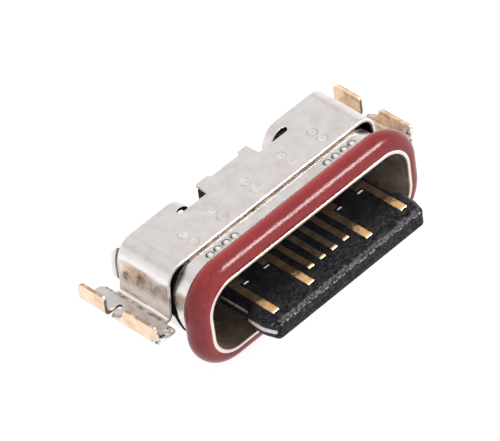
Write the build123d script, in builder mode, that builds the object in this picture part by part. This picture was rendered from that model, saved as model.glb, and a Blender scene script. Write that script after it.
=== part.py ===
from build123d import *
import os

# USB-C socket, board mounted, with a sealing ring round its mouth.
# Frame: +Z up, the mouth faces -Y, +X to the right seen from the mouth.
# Origin: centre of the mouth, on the mouth plane, at mid height of the tongue.
# Millimetres.

# ---------------------------------------------------------------- dimensions
mouth_w, mouth_h, mouth_r = 8.34, 2.56, 0.90      # clear opening
shell_t = 0.12                                    # drawn tube wall
shell_len = 4.14
shell_top_end = 3.05                              # the top wall is cut back to here
shell_w, shell_h, shell_r = mouth_w + 2 * shell_t, mouth_h + 2 * shell_t, mouth_r + shell_t
lip_flare, lip_len = 0.02, 0.02
collar_y0, collar_y1, collar_off = 0.87, 0.95, 0.12   # low bead behind the seal

seal_y0, seal_y1, seal_off, seal_edge_r = 0.02, 0.87, 0.475, 0.41

sheet_t = 0.12                                    # bracket sheet
br_top_mid = shell_h / 2 + sheet_t / 2            # mid plane of the top plate
br_side_top, br_side_mid = 4.34, 4.50             # mid plane of the side walls, at the plate and at the flange
br_flange_mid = -0.26                             # mid plane of the solder flanges
br_leg_mid = 5.50                                 # mid plane of the legs
br_leg_top = 0.42
br_y0, br_y1 = 1.53, 3.60                         # top plate and walls
fl_y0, fl_y1, fl_rear = 1.08, 4.30, 4.20          # legs, and the flange's rear edge
fl_inner = 4.74
top_bend_r, flange_bend_r, leg_bend_r = 0.55, 0.15, 0.14   # to the mid plane
notch_y = 3.02                                    # floor of the rear notches
slot_y0, slot_y1, slot_x = 3.10, 3.18, 5.08       # slot between the two legs
slot_r = 0.09                                     # round end of the slot
leg_gap_y = 2.38                                  # rear edge of the front leg, above its shoulder

tongue_y0, tongue_t = -1.60, 0.70
ear_x, waist_x = 3.27, 3.08                       # half widths at the nose and at the latch notch
nose_x, taper_y = 3.12, -1.10                     # the sides draw in from taper_y to nose_x at the front
nose_r = 0.20
tongue_chamfer = 0.11
root_x, root_t, root_y0 = 3.25, 0.94, 0.86
base_y0, base_y1 = 2.95, 3.18
block_y1 = 3.95
pot_x, pot_y1 = 2.52, 3.85

mid_t = 0.15
emc_t = 0.08

contact_t = 0.12
contact_z = 0.31                                  # mid height of a row above the tongue's centre
wide_tip, short_tip = -1.16, -0.70
wide_w, signal_w, tail_w = 0.27, 0.235, 0.20
tail_end = 4.36
tail_z = br_flange_mid                            # tails and flanges meet one board face

os.makedirs("parts", exist_ok=True)

# ---------------------------------------------------------------- inner shell
with BuildPart() as inner_shell:
    with BuildSketch(Plane.XZ):
        RectangleRounded(shell_w, shell_h, shell_r)
    extrude(amount=-shell_len)
    # the lip at the mouth, rolled slightly outwards
    with BuildSketch(Plane.XZ):
        RectangleRounded(shell_w + 2 * lip_flare, shell_h + 2 * lip_flare, shell_r + lip_flare)
    extrude(amount=-lip_len)
    # low bead that holds the seal from behind
    with BuildSketch(Plane.XZ.offset(-collar_y0)):
        RectangleRounded(shell_w + 2 * collar_off, shell_h + 2 * collar_off, shell_r + collar_off)
    extrude(amount=-(collar_y1 - collar_y0))
    # the clear way through
    with BuildSketch(Plane.XZ):
        RectangleRounded(mouth_w, mouth_h, mouth_r)
    extrude(amount=-shell_len, mode=Mode.SUBTRACT)
    # the top wall stops short, between the side wings
    with BuildSketch(Plane.XY.offset(0.6)):
        with Locations((0, shell_top_end + 1.0)):
            Rectangle(6.8, 2.0)
    extrude(amount=1.2, mode=Mode.SUBTRACT)
    # the wings' upper rear corners, rounded off
    with BuildSketch(Plane.YZ.offset(-5)):
        with BuildLine():
            FilletPolyline((3.30, 1.70), (3.30, 1.10), (4.135, 0.98), (4.135, 0.35), (4.30, 0.35), (4.30, 1.70),
                           close=True, radius=[0, 0.08, 0.32, 0, 0, 0])
        make_face()
    extrude(amount=10, mode=Mode.SUBTRACT)
    # below the wings the tube ends level with the side walls
    with BuildSketch(Plane.XY.offset(-2.0)):
        with Locations((0, (3.62 + 4.40) / 2)):
            Rectangle(10.0, 4.40 - 3.62)
    extrude(amount=2.0 - 0.15, mode=Mode.SUBTRACT)
inner_shell.part.label = "inner_shell"

# ---------------------------------------------------------------- seal ring
with BuildPart() as seal_ring:
    with BuildSketch(Plane.XZ.offset(-seal_y0)):
        RectangleRounded(shell_w + 2 * seal_off, shell_h + 2 * seal_off, shell_r + seal_off)
    extrude(amount=-(seal_y1 - seal_y0))
    ring_rims = seal_ring.faces().filter_by(Axis.Y)
    fillet(ring_rims.edges(), radius=seal_edge_r)
    # bore: it grips the tube
    with BuildSketch(Plane.XZ):
        RectangleRounded(shell_w, shell_h, shell_r)
    extrude(amount=-2.0, mode=Mode.SUBTRACT)
seal_ring.part.label = "seal_ring"

# ---------------------------------------------------------------- bracket
with BuildPart() as bracket:
    # one folded strip: leg, flange, wall, top plate, wall, flange, leg
    with BuildSketch(Plane.XZ.offset(-fl_y1)) as strip:
        with BuildLine():
            FilletPolyline((-br_leg_mid, br_leg_top), (-br_leg_mid, br_flange_mid), (-br_side_mid, br_flange_mid),
                           (-br_side_top, br_top_mid), (br_side_top, br_top_mid), (br_side_mid, br_flange_mid),
                           (br_leg_mid, br_flange_mid), (br_leg_mid, br_leg_top),
                           radius=[leg_bend_r, flange_bend_r, top_bend_r, top_bend_r, flange_bend_r, leg_bend_r])
        trace(line_width=sheet_t)
    extrude(amount=fl_y1 - fl_y0)
    # plan outline: in front of the walls and behind them
    with BuildSketch(Plane.XY.offset(-1)):
        with Locations((0, (fl_y0 - 0.5 + br_y0) / 2)):
            Rectangle(2 * fl_inner, br_y0 - fl_y0 + 0.5)
        with Locations((0, (br_y1 + fl_y1 + 0.5) / 2)):
            Rectangle(2 * (fl_inner - 0.04), fl_y1 - br_y1 + 0.5)
        with Locations((0, (fl_rear + fl_y1 + 0.5) / 2)):
            Rectangle(2 * (br_leg_mid - leg_bend_r), fl_y1 - fl_rear + 0.5)
    extrude(amount=3, mode=Mode.SUBTRACT)
    # rear edge of the top plate: a wide tongue between two notches
    with BuildSketch(Plane.XY.offset(1.0)):
        with BuildLine():
            FilletPolyline((-2.22, 3.80), (-2.22, 3.19), (-2.34, 3.19), (-2.34, notch_y), (-1.17, notch_y), (-1.14, 3.55),
                           (-0.66, 3.55), (-0.58, 3.43), (0.58, 3.43), (0.66, 3.55), (1.03, 3.55), (1.06, notch_y),
                           (2.34, notch_y), (2.34, 3.19), (2.22, 3.19), (2.22, 3.80),
                           close=True, radius=[0, 0.03, 0.05, 0.08, 0.13, 0.07, 0.06, 0.06, 0.06, 0.06, 0.07, 0.13, 0.08, 0.05, 0.03, 0])
        make_face()
    extrude(amount=1.0, mode=Mode.SUBTRACT)
    # two legs on each side: a slot in the flange, open to a wider gap above the front leg's shoulder
    with BuildSketch(Plane.XY.offset(-1)):
        for side in (-1, 1):
            with Locations((side * 5.80, (slot_y0 + slot_y1) / 2)):
                Rectangle(2 * (5.80 - slot_x), slot_y1 - slot_y0)
            with Locations((side * slot_x, slot_y1 - slot_r)):
                Circle(slot_r)
    extrude(amount=3, mode=Mode.SUBTRACT)
    for side in (-1, 1):
        with BuildSketch(Plane.YZ.offset(side * 5.55)):
            with BuildLine():
                FilletPolyline((leg_gap_y, 0.80), (leg_gap_y, 0.30), (2.50, 0.08), (2.93, -0.12), (slot_y0, -0.24), (slot_y0, -0.50), (slot_y1, -0.50),
                               (slot_y1, 0.80), close=True, radius=[0, 0.08, 0.10, 0.05, 0, 0, 0, 0])
            make_face()
        extrude(amount=0.25, both=True, mode=Mode.SUBTRACT)
    # rounded upper corners of the legs
    for at_y, corner_r in ((fl_y1, 0.22), (slot_y1, 0.16), (leg_gap_y, 0.10), (fl_y0, 0.12)):
        leg_tops = bracket.edges().filter_by(Axis.X).filter_by_position(Axis.Z, br_leg_top - 0.005, br_leg_top + 0.005)
        fillet(leg_tops.filter_by_position(Axis.Y, at_y - 0.01, at_y + 0.01), radius=corner_r)
    # the flange's inner rear corner, rounded beside the wall
    neck = bracket.edges().filter_by(Axis.Z).filter_by_position(Axis.Y, fl_rear - 0.01, fl_rear + 0.01)
    neck_x = fl_inner - 0.04
    neck = neck.filter_by_position(Axis.X, -neck_x - 0.02, -neck_x + 0.02) + neck.filter_by_position(Axis.X, neck_x - 0.02, neck_x + 0.02)
    fillet(neck, radius=0.26)
    # retention tabs, bent down behind the housing
    for side in (-1, 1):
        with BuildSketch(Plane.XZ.offset(-3.58)):
            with BuildLine():
                FilletPolyline((side * 2.60, br_top_mid), (side * 1.97, br_top_mid), (side * 1.68, 0.90), radius=[0.42])
            trace(line_width=sheet_t)
        extrude(amount=3.58 - 3.22)
bracket.part.label = "bracket"

# ---------------------------------------------------------------- mid plate
with BuildPart() as mid_plate:
    with BuildSketch(Plane.XY.offset(-mid_t / 2)):
        with BuildLine():
            FilletPolyline((-3.17, -1.53), (3.17, -1.53), (3.315, taper_y), (3.315, -0.52), (waist_x + 0.005, -0.29), (waist_x + 0.005, 2.97),
                           (mouth_w / 2, 2.97), (mouth_w / 2, 3.14), (-mouth_w / 2, 3.14), (-mouth_w / 2, 2.97),
                           (-waist_x - 0.005, 2.97), (-waist_x - 0.005, -0.29), (-3.315, -0.52), (-3.315, taper_y),
                           close=True, radius=[0.14, 0.14, 0.50, 0.10, 0.08, 0.10, 0, 0, 0, 0, 0.10, 0.08, 0.10, 0.50])
        make_face()
    extrude(amount=mid_t)
mid_plate.part.label = "mid_plate"

# ---------------------------------------------------------------- ground plates on the tongue's root
with BuildPart() as upper_emc_plate:
    with BuildSketch(Plane.YZ.offset(-2.9)):
        with BuildLine():
            FilletPolyline((0.86, root_t / 2 + emc_t / 2), (base_y0 - emc_t / 2, root_t / 2 + emc_t / 2),
                           (base_y0 - emc_t / 2, mouth_h / 2), radius=[0.10])
        trace(line_width=emc_t)
    extrude(amount=5.8)
    # the upright flange is narrower than the plate
    with BuildSketch(Plane.XZ.offset(-3.2)):
        for side in (-1, 1):
            with Locations((side * 2.9, 0.95)):
                Rectangle(0.7, 0.50)
    extrude(amount=1.0, mode=Mode.SUBTRACT)
upper_emc_plate.part.label = "upper_emc_plate"

with BuildPart() as lower_emc_plate:
    with BuildSketch(Plane.YZ.offset(-2.9)):
        with BuildLine():
            FilletPolyline((0.86, -root_t / 2 - emc_t / 2), (base_y0 - emc_t / 2, -root_t / 2 - emc_t / 2),
                           (base_y0 - emc_t / 2, -mouth_h / 2), radius=[0.10])
        trace(line_width=emc_t)
    extrude(amount=5.8)
    with BuildSketch(Plane.XZ.offset(-3.2)):
        for side in (-1, 1):
            with Locations((side * 2.9, -0.95)):
                Rectangle(0.7, 0.50)
    extrude(amount=1.0, mode=Mode.SUBTRACT)
lower_emc_plate.part.label = "lower_emc_plate"

# ---------------------------------------------------------------- contacts
# name, centre at the tongue, lane of the tail, kind (g: ground, v: supply, s: signal)
upper_row = [
    ("upper_gnd_left", -2.75, -2.92, "g"), ("upper_vbus_left", -1.25, -2.36, "v"), ("upper_cc", -0.75, -1.25, "s"),
    ("upper_dp", -0.25, -0.25, "s"), ("upper_dn", 0.25, 0.25, "s"), ("upper_sbu", 0.75, 1.25, "s"),
    ("upper_vbus_right", 1.25, 2.36, "v"), ("upper_gnd_right", 2.75, 2.92, "g"),
]
lower_row = [
    ("lower_gnd_left", -2.75, -2.64, "g"), ("lower_vbus_left", -1.25, -2.08, "v"), ("lower_sbu", -0.75, -1.75, "s"),
    ("lower_dn", -0.25, -0.75, "s"), ("lower_dp", 0.25, 0.75, "s"), ("lower_cc", 0.75, 1.75, "s"),
    ("lower_vbus_right", 1.25, 2.08, "v"), ("lower_gnd_right", 2.75, 2.64, "g"),
]
contacts = []
for row, level in ((upper_row, 1), (lower_row, -1)):
    for name, x0, x1, kind in row:
        tip = short_tip if kind == "s" else wide_tip
        w = signal_w if kind == "s" else wide_w
        side = 1 if x0 > 0 else -1
        # the widened stretch behind the empty contact places, on the side that faces them
        grow_in = 0.23 if kind == "g" else 0.0
        grow_out = 0.23 if kind == "v" else 0.0
        inner, outer = abs(x0) - w / 2, abs(x0) + w / 2
        lane_in, lane_out = abs(x1) - tail_w / 2, abs(x1) + tail_w / 2
        outline = [(outer, tip), (outer, 0.48), (outer + grow_out, 0.48), (outer + grow_out, 1.10), (outer, 1.30),
                   (lane_out, 2.60), (lane_out, tail_end), (lane_in, tail_end), (lane_in, 2.60), (inner, 1.30),
                   (inner - grow_in, 1.10), (inner - grow_in, 0.48), (inner, 0.48), (inner, tip)]
        outline = [p for i, p in enumerate(outline) if p not in outline[:i]]
        with BuildPart() as contact:
            # side profile of the bent strip, then its plan outline
            with BuildSketch(Plane.YZ.offset(-4)):
                with BuildLine():
                    if level > 0:
                        FilletPolyline((tip, contact_z), (3.32, contact_z), (3.32, tail_z), (tail_end, tail_z), radius=[0.14, 0.14])
                    else:
                        FilletPolyline((tip, -contact_z), (3.08, -contact_z), (3.30, tail_z), (tail_end, tail_z), radius=[0.15, 0.15])
                trace(line_width=contact_t)
            extrude(amount=8)
            with BuildSketch(Plane.XY.offset(-1)):
                with BuildLine():
                    Polyline(*[(side * x, y) for x, y in outline], close=True)
                make_face()
            extrude(amount=2, mode=Mode.INTERSECT)
            # bevelled nose
            nose = contact.edges().filter_by(Axis.X).sort_by(Axis.Y)[0:2].sort_by(Axis.Z)[-1 if level > 0 else 0]
            chamfer(nose, length=0.04)
        contact.part.label = name
        contacts.append(contact.part)

# ---------------------------------------------------------------- contact carriers, moulded round each row
with BuildPart() as upper_carrier:
    with BuildSketch(Plane.XY.offset(0.10)):
        with Locations((0, 2.0)):
            RectangleRounded(6.10, 1.40, 0.10)
    extrude(amount=0.32)
    for strip_part in contacts[0:8]:
        add(strip_part, mode=Mode.SUBTRACT)
upper_carrier.part.label = "upper_carrier"

with BuildPart() as lower_carrier:
    with BuildSketch(Plane.XY.offset(-0.42)):
        with Locations((0, 2.0)):
            RectangleRounded(6.10, 1.40, 0.10)
    extrude(amount=0.32)
    for strip_part in contacts[8:16]:
        add(strip_part, mode=Mode.SUBTRACT)
lower_carrier.part.label = "lower_carrier"

# ---------------------------------------------------------------- housing
with BuildPart() as housing:
    # tongue: plan outline with round nose corners and the two latch notches, edges chamfered all round
    with BuildSketch(Plane.XY.offset(-tongue_t / 2)):
        with BuildLine():
            FilletPolyline((-nose_x, tongue_y0), (nose_x, tongue_y0), (ear_x, taper_y), (ear_x, -0.50), (waist_x, -0.29), (waist_x, 1.2),
                           (-waist_x, 1.2), (-waist_x, -0.29), (-ear_x, -0.50), (-ear_x, taper_y),
                           close=True, radius=[nose_r, nose_r, 0.50, 0, 0.15, 0, 0, 0.15, 0, 0.50])
        make_face()
    extrude(amount=tongue_t)
    top_and_bottom = housing.faces().filter_by(Axis.Z)
    chamfer(top_and_bottom.edges(), length=tongue_chamfer)
    # root: thicker, carries the ground plates
    with BuildSketch(Plane.XY.offset(-root_t / 2)):
        with Locations((0, (root_y0 + base_y0) / 2)):
            Rectangle(2 * root_x, base_y0 - root_y0)
    extrude(amount=root_t)
    # base block: closes the tube
    with BuildSketch(Plane.XZ.offset(-base_y0)):
        RectangleRounded(mouth_w, mouth_h, mouth_r)
    extrude(amount=-(base_y1 - base_y0))
    # rear blocks, inside the tube's wings
    with BuildSketch(Plane.XZ.offset(-base_y1)):
        RectangleRounded(mouth_w, mouth_h, mouth_r)
        Rectangle(2 * pot_x, 4, mode=Mode.SUBTRACT)
        with Locations((0, 0.85 + 1)):
            Rectangle(10, 2, mode=Mode.SUBTRACT)
    extrude(amount=-(block_y1 - base_y1))
    # shelf and centre block under the bracket's rear tongue
    with BuildSketch(Plane.XZ.offset(-base_y1)):
        with Locations((0, 0.675)):
            Rectangle(2 * pot_x, 0.35)
    extrude(amount=-0.27)
    with BuildSketch(Plane.XZ.offset(-shell_top_end)):
        with Locations((-0.105, (0.85 + 1.39) / 2)):
            Rectangle(2.13, 1.39 - 0.85)
    extrude(amount=-0.40)
    # everything moulded in
    for strip_part in contacts:
        add(strip_part, mode=Mode.SUBTRACT)
    add(mid_plate.part, mode=Mode.SUBTRACT)
    add(upper_carrier.part, mode=Mode.SUBTRACT)
    add(lower_carrier.part, mode=Mode.SUBTRACT)
housing.part.label = "housing"

# ---------------------------------------------------------------- sealing resin behind the base block
with BuildPart() as rear_potting:
    with BuildSketch(Plane.YZ.offset(-pot_x)):
        with BuildLine():
            Polyline((base_y1, -mouth_h / 2), (pot_y1, -mouth_h / 2), (pot_y1, 0.18), (3.62, 0.30), (3.45, 0.50), (base_y1, 0.50), close=True)
        make_face()
    extrude(amount=2 * pot_x)
    for strip_part in contacts:
        add(strip_part, mode=Mode.SUBTRACT)
rear_potting.part.label = "rear_potting"

# ---------------------------------------------------------------- one file per piece
pieces = [inner_shell.part, seal_ring.part, bracket.part, mid_plate.part, upper_emc_plate.part, lower_emc_plate.part,
          upper_carrier.part, lower_carrier.part, housing.part, rear_potting.part] + contacts
for piece in pieces:
    export_step(piece, f"parts/{piece.label}.step")
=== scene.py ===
import bpy
import math
import numpy as np
from mathutils import Matrix, Vector
from mathutils.geometry import delaunay_2d_cdt
from mathutils.kdtree import KDTree


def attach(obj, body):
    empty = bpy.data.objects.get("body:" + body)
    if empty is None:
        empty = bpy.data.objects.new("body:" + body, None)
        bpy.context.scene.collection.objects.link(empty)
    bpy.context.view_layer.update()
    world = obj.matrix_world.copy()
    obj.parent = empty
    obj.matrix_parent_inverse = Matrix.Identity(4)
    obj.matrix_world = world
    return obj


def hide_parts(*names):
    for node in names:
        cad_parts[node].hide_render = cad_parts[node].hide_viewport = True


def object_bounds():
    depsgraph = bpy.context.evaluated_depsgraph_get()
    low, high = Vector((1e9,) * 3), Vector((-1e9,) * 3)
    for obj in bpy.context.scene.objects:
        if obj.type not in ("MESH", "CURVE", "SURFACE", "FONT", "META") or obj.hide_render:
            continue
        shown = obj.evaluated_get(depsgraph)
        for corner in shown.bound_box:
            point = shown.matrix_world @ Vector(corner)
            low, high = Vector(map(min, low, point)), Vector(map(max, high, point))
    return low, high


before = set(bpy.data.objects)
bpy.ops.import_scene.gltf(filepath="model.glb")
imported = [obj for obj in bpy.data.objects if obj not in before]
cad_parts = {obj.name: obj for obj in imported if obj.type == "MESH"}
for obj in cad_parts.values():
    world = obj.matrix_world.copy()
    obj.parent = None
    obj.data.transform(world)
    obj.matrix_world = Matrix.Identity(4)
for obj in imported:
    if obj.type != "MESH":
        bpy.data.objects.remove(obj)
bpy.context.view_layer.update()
scene = bpy.context.scene
MM = 0.001

# ------------------------------------------------------------------ camera
# rows: image right, image down, view direction
VIEW = ((0.6895069623, -0.7168758200, -0.1032918563),
        (-0.5435116979, -0.4178670114, -0.7279987604),
        (0.4787224490, 0.5581005460, -0.6777526078))
cam_data = bpy.data.cameras.new("camera")
cam = bpy.data.objects.new("camera", cam_data)
scene.collection.objects.link(cam)
cam.matrix_world = Matrix((
    (VIEW[0][0], -VIEW[1][0], -VIEW[2][0], -0.0736497171),
    (VIEW[0][1], -VIEW[1][1], -VIEW[2][1], -0.0832197853),
    (VIEW[0][2], -VIEW[1][2], -VIEW[2][2], 0.1039988472),
    (0, 0, 0, 1)))
cam_data.sensor_width = 36.0
cam_data.lens = 5165.97 * 36.0 / 500.0
cam_data.clip_start = 0.005
cam_data.clip_end = 20.0
scene.camera = cam

rng = np.random.default_rng(7)


# ------------------------------------------------------------------ smooth value noise for shaping meshes
def lattice(seed, n=64):
    g = np.random.default_rng(seed)
    return g.uniform(-1, 1, (n, n, n))


LAT = lattice(11)


def vnoise(p, scale, offset=0.0):
    """Smooth noise in -1..1 at points p (mm), features about 1/scale mm."""
    q = np.asarray(p, float) * scale + offset
    i = np.floor(q).astype(int)
    f = q - i
    f = f * f * (3 - 2 * f)
    n = LAT.shape[0]
    out = 0
    for dx in (0, 1):
        for dy in (0, 1):
            for dz in (0, 1):
                w = (f[:, 0] if dx else 1 - f[:, 0]) * (f[:, 1] if dy else 1 - f[:, 1]) * (f[:, 2] if dz else 1 - f[:, 2])
                out = out + w * LAT[(i[:, 0] + dx) % n, (i[:, 1] + dy) % n, (i[:, 2] + dz) % n]
    return out


# ------------------------------------------------------------------ mesh helpers (millimetres in, metres out)
def make_piece(name, verts, quads, tris, materials, node=None, smooth_deg=32.0, attrs=None, face_mats=None):
    verts = np.asarray(verts, float)
    quads = np.asarray(quads, int).reshape(-1, 4)
    tris = np.asarray(tris, int).reshape(-1, 3)
    # faces look outwards: the enclosed volume is positive
    every = np.r_[tris, quads[:, [0, 1, 2]], quads[:, [0, 2, 3]]]
    if np.einsum("ij,ij->i", verts[every[:, 0]], np.cross(verts[every[:, 1]], verts[every[:, 2]])).sum() < 0:
        quads, tris = quads[:, ::-1], tris[:, ::-1]
    me = bpy.data.meshes.new(name)
    me.vertices.add(len(verts))
    me.vertices.foreach_set("co", (verts * MM).astype(np.float32).ravel())
    n_loops = quads.size + tris.size
    me.loops.add(n_loops)
    me.loops.foreach_set("vertex_index", np.r_[quads.ravel(), tris.ravel()].astype(np.int32))
    n_poly = len(quads) + len(tris)
    me.polygons.add(n_poly)
    starts = np.r_[np.arange(len(quads)) * 4, quads.size + np.arange(len(tris)) * 3].astype(np.int32)
    me.polygons.foreach_set("loop_start", starts)
    me.update(calc_edges=True)
    me.validate(clean_customdata=False)
    me.shade_smooth()
    me.set_sharp_from_angle(angle=math.radians(smooth_deg))
    for key, values in (attrs or {}).items():
        a = me.attributes.new(key, "FLOAT", "POINT")
        a.data.foreach_set("value", np.asarray(values, np.float32))
    for m in materials:
        me.materials.append(m)
    if face_mats is not None and len(face_mats) == len(me.polygons):
        me.polygons.foreach_set("material_index", np.asarray(face_mats, np.int32))
    ob = bpy.data.objects.new(name, me)
    scene.collection.objects.link(ob)
    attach(ob, "root")
    if node:
        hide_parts(node)
    return ob


def rrect_path(w, h, r, step_long, n_corner, extra_x=None):
    """Points and outward normals round a rounded rectangle in XZ, counterclockwise from the right side's middle."""
    pts, nrm = [], []
    hx, hz = w / 2 - r, h / 2 - r

    def line(a, b, n, xs=None):
        a, b = np.array(a, float), np.array(b, float)
        if xs is None:
            k = max(1, int(round(np.linalg.norm(b - a) / step_long)))
            ts = np.arange(k) / k
        else:
            ts = np.array(xs)
        for t in ts:
            pts.append(a + (b - a) * t)
            nrm.append(n)

    def arc(cx, cz, a0):
        for k in range(n_corner):
            a = a0 + (math.pi / 2) * k / n_corner
            pts.append(np.array([cx + r * math.cos(a), cz + r * math.sin(a)]))
            nrm.append((math.cos(a), math.sin(a)))

    def long_ts(sign):
        if extra_x is None:
            return None
        xs = sorted(set(np.round(np.r_[np.arange(-hx, hx, step_long), extra_x[(extra_x > -hx) & (extra_x < hx)]], 5)))
        keep = [xs[0]]
        for x in xs[1:]:
            if x - keep[-1] > 0.012:
                keep.append(x)
        xs = np.array(keep)
        ts = (xs + hx) / (2 * hx) if sign > 0 else (hx - xs[::-1]) / (2 * hx)
        return [t for t in ts if 0 <= t < 1 - 1e-4] if sign > 0 else [0.0] + [t for t in ts if 1e-4 < t < 1 - 1e-4]

    line((w / 2, 0), (w / 2, hz), (1, 0))
    arc(hx, hz, 0)
    line((hx, h / 2), (-hx, h / 2), (0, 1), long_ts(-1))
    arc(-hx, hz, math.pi / 2)
    line((-w / 2, hz), (-w / 2, -hz), (-1, 0))
    arc(-hx, -hz, math.pi)
    line((-hx, -h / 2), (hx, -h / 2), (0, -1))
    arc(hx, -hz, 1.5 * math.pi)
    line((w / 2, -hz), (w / 2, 0), (1, 0))
    return np.array(pts), np.array(nrm, float)


def ring_quads(n, m, closed_m=True):
    """Quads for an n (round the ring) by m (round the section) grid of vertices, index i * m + j."""
    i = np.arange(n)
    j = np.arange(m if closed_m else m - 1)
    I, J = np.meshgrid(i, j, indexing="ij")
    I2, J2 = (I + 1) % n, (J + 1) % m
    return np.stack([I * m + J, I2 * m + J, I2 * m + J2, I * m + J2], -1).reshape(-1, 4)


def fillet_poly(points, radii, step=0.03):
    """Closed polygon with rounded corners, as a dense list of points."""
    pts = [np.array(p, float) for p in points]
    n = len(pts)
    out = []
    for i in range(n):
        p, a, b = pts[i], pts[i - 1], pts[(i + 1) % n]
        r = radii[i]
        if r <= 0:
            out.append(p)
            continue
        u, v = (a - p) / np.linalg.norm(a - p), (b - p) / np.linalg.norm(b - p)
        ang = math.acos(max(-1, min(1, float(u @ v))))
        t = r / math.tan(ang / 2)
        p0, p1 = p + u * t, p + v * t
        bis = (u + v) / np.linalg.norm(u + v)
        c = p + bis * (r / math.sin(ang / 2))
        a0 = math.atan2(*(p0 - c)[::-1])
        a1 = math.atan2(*(p1 - c)[::-1])
        da = (a1 - a0 + math.pi) % (2 * math.pi) - math.pi
        k = max(4, int(math.ceil(abs(da) * r / step)), int(abs(da) / 0.22))
        for q in range(k + 1):
            aa = a0 + da * q / k
            out.append(c + r * np.array([math.cos(aa), math.sin(aa)]))
    return out


def densify(points, step):
    """Adds points on long runs. step may be a number or a function of the point."""
    pts = [np.array(p, float) for p in points]
    out = []
    n = len(pts)
    for i in range(n):
        a, b = pts[i], pts[(i + 1) % n]
        d = np.linalg.norm(b - a)
        if d < 1e-7:
            continue
        s = step((a + b) / 2) if callable(step) else step
        k = max(1, int(math.ceil(d / s)))
        for q in range(k):
            out.append(a + (b - a) * q / k)
    return np.array(out)


def signed_area(p):
    x, y = p[:, 0], p[:, 1]
    return 0.5 * float(np.sum(x * np.roll(y, -1) - np.roll(x, -1) * y))


def inset(poly, d):
    """Moves a dense counterclockwise polygon inwards by d."""
    a, b, c = np.roll(poly, 1, 0), poly, np.roll(poly, -1, 0)
    u = b - a
    v = c - b
    u /= np.linalg.norm(u, axis=1)[:, None]
    v /= np.linalg.norm(v, axis=1)[:, None]
    nu = np.c_[-u[:, 1], u[:, 0]]
    nv = np.c_[-v[:, 1], v[:, 0]]
    m = nu + nv
    m /= np.maximum(np.linalg.norm(m, axis=1), 1e-9)[:, None]
    k = np.maximum(np.sum(m * nu, 1), 0.45)
    return poly + m * (d / k)[:, None]


def inside(poly, p):
    x, y = p[:, 0], p[:, 1]
    res = np.zeros(len(p), bool)
    a = poly
    b = np.roll(poly, -1, 0)
    for (x0, y0), (x1, y1) in zip(a, b):
        if y0 == y1:
            continue
        cond = ((y0 > y) != (y1 > y)) & (x < (x1 - x0) * (y - y0) / (y1 - y0) + x0)
        res ^= cond
    return res


def plate(outline, levels_top, levels_bottom, grid_points, clear=0.6, spacing=0.05):
    """A plate from a plan outline. levels_top: list of (inset, height) from the outline's widest loop up to the top
    skin's edge; levels_bottom likewise, downwards.
    Returns plan points, heights, quads and tris."""
    poly = np.asarray(outline, float)
    if signed_area(poly) < 0:
        poly = poly[::-1]
    n = len(poly)
    loops = []
    for ins, hgt in list(reversed(levels_bottom)) + list(levels_top):
        loops.append((inset(poly, ins) if ins > 0 else poly, hgt))
    uv = np.concatenate([l[0] for l in loops])
    hh = np.concatenate([np.full(n, l[1]) for l in loops])
    m = len(loops)
    quads = []
    idx = np.arange(n)
    nxt = (idx + 1) % n
    for k in range(m - 1):
        quads.append(np.c_[k * n + idx, k * n + nxt, (k + 1) * n + nxt, (k + 1) * n + idx])
    quads = np.concatenate(quads)
    tris = []
    count = len(uv)
    uv_parts, hh_parts = [uv], [hh]
    for which, loop_index in (("top", m - 1), ("bottom", 0)):
        loop = loops[loop_index][0]
        g = grid_points
        ok = inside(loop, g)
        g = g[ok]
        kd = KDTree(n)
        for q, pt in enumerate(loop):
            kd.insert((pt[0], pt[1], 0), q)
        kd.balance()
        keep = [kd.find((pt[0], pt[1], 0))[2] > clear * spacing for pt in g]
        g = g[np.array(keep, bool)] if len(g) else g
        pts = np.concatenate([loop, g]) if len(g) else loop
        edges = [(int(a), int(b)) for a, b in zip(idx, nxt)]
        out_v, out_e, out_f, ov, oe, of = delaunay_2d_cdt([Vector((float(a), float(b))) for a, b in pts], edges, [], 1, 1e-7, True)
        remap = np.zeros(len(out_v), int)
        for q, orig in enumerate(ov):
            o = orig[0] if orig else -1
            remap[q] = (loop_index * n + o) if 0 <= o < n else (count + o - n if o >= n else -1)
        F = []
        for face in out_f:
            ids = [remap[v] for v in face]
            if min(ids) < 0 or len(set(ids)) < 3:
                continue
            F.append(ids[:3])
        F = np.array(F, int)
        if len(F):
            P = np.concatenate(uv_parts + [g]) if len(g) else np.concatenate(uv_parts)
            A, B, C = P[F[:, 0]], P[F[:, 1]], P[F[:, 2]]
            ar = (B[:, 0] - A[:, 0]) * (C[:, 1] - A[:, 1]) - (B[:, 1] - A[:, 1]) * (C[:, 0] - A[:, 0])
            want = ar > 0 if which == "top" else ar < 0
            F[~want] = F[~want][:, ::-1]
            F = F[np.abs(ar) > 1e-12]
            F = F[inside(loop, (P[F[:, 0]] + P[F[:, 1]] + P[F[:, 2]]) / 3)]
        tris.append(F)
        if len(g):
            uv_parts.append(g)
            hh_parts.append(np.full(len(g), loops[loop_index][1]))
            count += len(g)
    uv = np.concatenate(uv_parts)
    hh = np.concatenate(hh_parts)
    return uv, hh, quads, np.concatenate(tris)


def round_levels(half, e, k=3):
    """Top levels of a rounded edge: from the widest loop (inset 0) to the skin."""
    out = []
    for q in range(k + 1):
        a = (math.pi / 2) * q / k
        out.append((e * (1 - math.cos(a)), half - e + e * math.sin(a)))
    return out


def mirrored(levels):
    return [(i, -h) for i, h in levels]


def grid_points(us, vs):
    U, V = np.meshgrid(us, vs, indexing="ij")
    return np.c_[U.ravel(), V.ravel()]


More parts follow.
